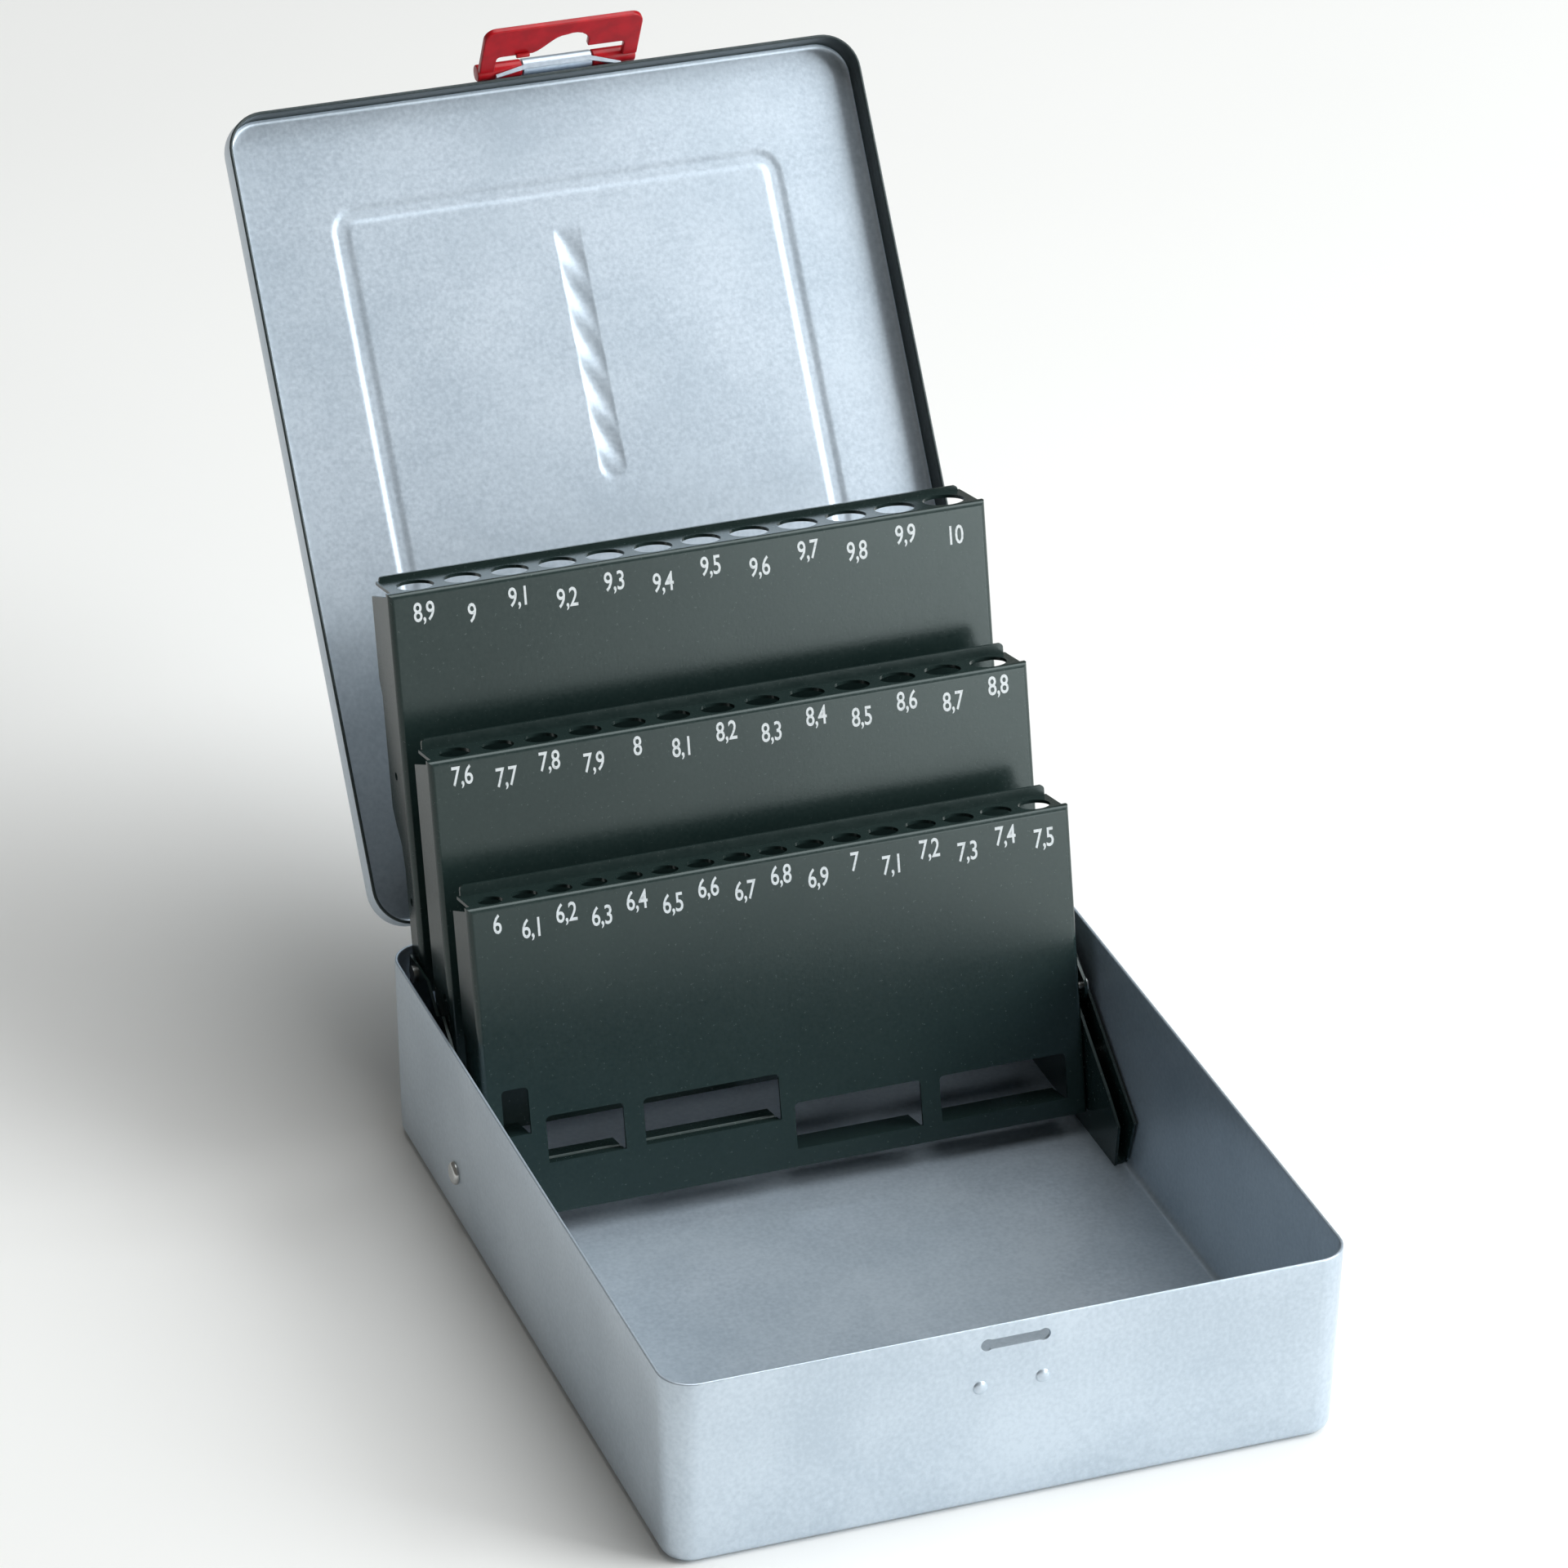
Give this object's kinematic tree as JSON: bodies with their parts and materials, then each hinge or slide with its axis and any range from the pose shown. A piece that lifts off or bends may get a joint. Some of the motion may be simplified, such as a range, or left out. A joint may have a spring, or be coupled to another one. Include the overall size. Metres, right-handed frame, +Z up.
{
  "type": "drill bit case",
  "caption": "Empty sheet-steel drill bit case with a hinged lid, swinging latch and fold-up holed racks that rise as the lid opens.",
  "frame": {"origin": "centre of the tray's flat bottom, on the surface the case stands on", "axes": "+X to the right along the front wall, +Y towards the hinged back, +Z up"},
  "size_m": [0.166, 0.3317, 0.2321],
  "materials": {
    "case_paint": "satin light blue-grey stove enamel with a fine mottle",
    "rack_paint": "satin dark green-grey enamel",
    "rivet_steel": "dull zinc-plated steel",
    "red_plastic": "glossy moulded red plastic"
  },
  "bodies": {
    "case_base": {"base_tray": "case_paint", "bracket_left": "rack_paint", "bracket_right": "rack_paint", "bracket_rivets": "rivet_steel", "rack_pivot_rivets": "rivet_steel", "hinge_leaf_base": "case_paint", "hinge_pin": "rivet_steel"},
    "lid": {"lid_shell": "case_paint", "hinge_leaf_lid": "case_paint", "lid_lug": "rack_paint", "lid_link_pin": "rivet_steel", "latch_bracket": "case_paint", "latch_pin": "rivet_steel"},
    "latch": {"latch_clip": "red_plastic"},
    "front_rack": {"rack_front": "rack_paint", "link_rivet_front": "rivet_steel"},
    "middle_rack": {"rack_middle": "rack_paint", "link_rivet_middle": "rivet_steel"},
    "rear_rack": {"rack_rear": "rack_paint", "link_rivet_rear": "rivet_steel"},
    "link": {"link_bar": "rack_paint"}
  },
  "joints": [
    {"name": "lid_hinge", "type": "hinge", "parent": "case_base", "child": "lid", "pos_m": [0, 0.1044, 0.0492], "axis": [1, 0, 0], "range_deg": [0, 125.4]},
    {"name": "latch_pivot", "type": "hinge", "parent": "lid", "child": "latch", "pos_m": [0.00435, 0.22763, 0.21742], "axis": [1, 0, 0], "range_deg": [-75, 30]},
    {"name": "front_rack_pivot", "type": "hinge", "parent": "case_base", "child": "front_rack", "pos_m": [0, 0.0445, 0.019], "axis": [1, 0, 0], "range_deg": [0, 103.4]},
    {"name": "middle_rack_pivot", "type": "hinge", "parent": "case_base", "child": "middle_rack", "pos_m": [0, 0.07, 0.0315], "axis": [1, 0, 0], "range_deg": [0, 103.4]},
    {"name": "rear_rack_pivot", "type": "hinge", "parent": "case_base", "child": "rear_rack", "pos_m": [0, 0.0955, 0.044], "axis": [1, 0, 0], "range_deg": [0, 103.4]},
    {"name": "link_pivot", "type": "hinge", "parent": "rear_rack", "child": "link", "pos_m": [0, 0.09967, 0.06151], "axis": [1, 0, 0], "range_deg": [-103.4, 0]}
  ],
  "couplings": [
    {"joint": "front_rack_pivot", "follows": "lid_hinge", "ratio": 0.82456},
    {"joint": "middle_rack_pivot", "follows": "lid_hinge", "ratio": 0.82456},
    {"joint": "rear_rack_pivot", "follows": "lid_hinge", "ratio": 0.82456},
    {"joint": "link_pivot", "follows": "lid_hinge", "ratio": -0.82456}
  ]
}
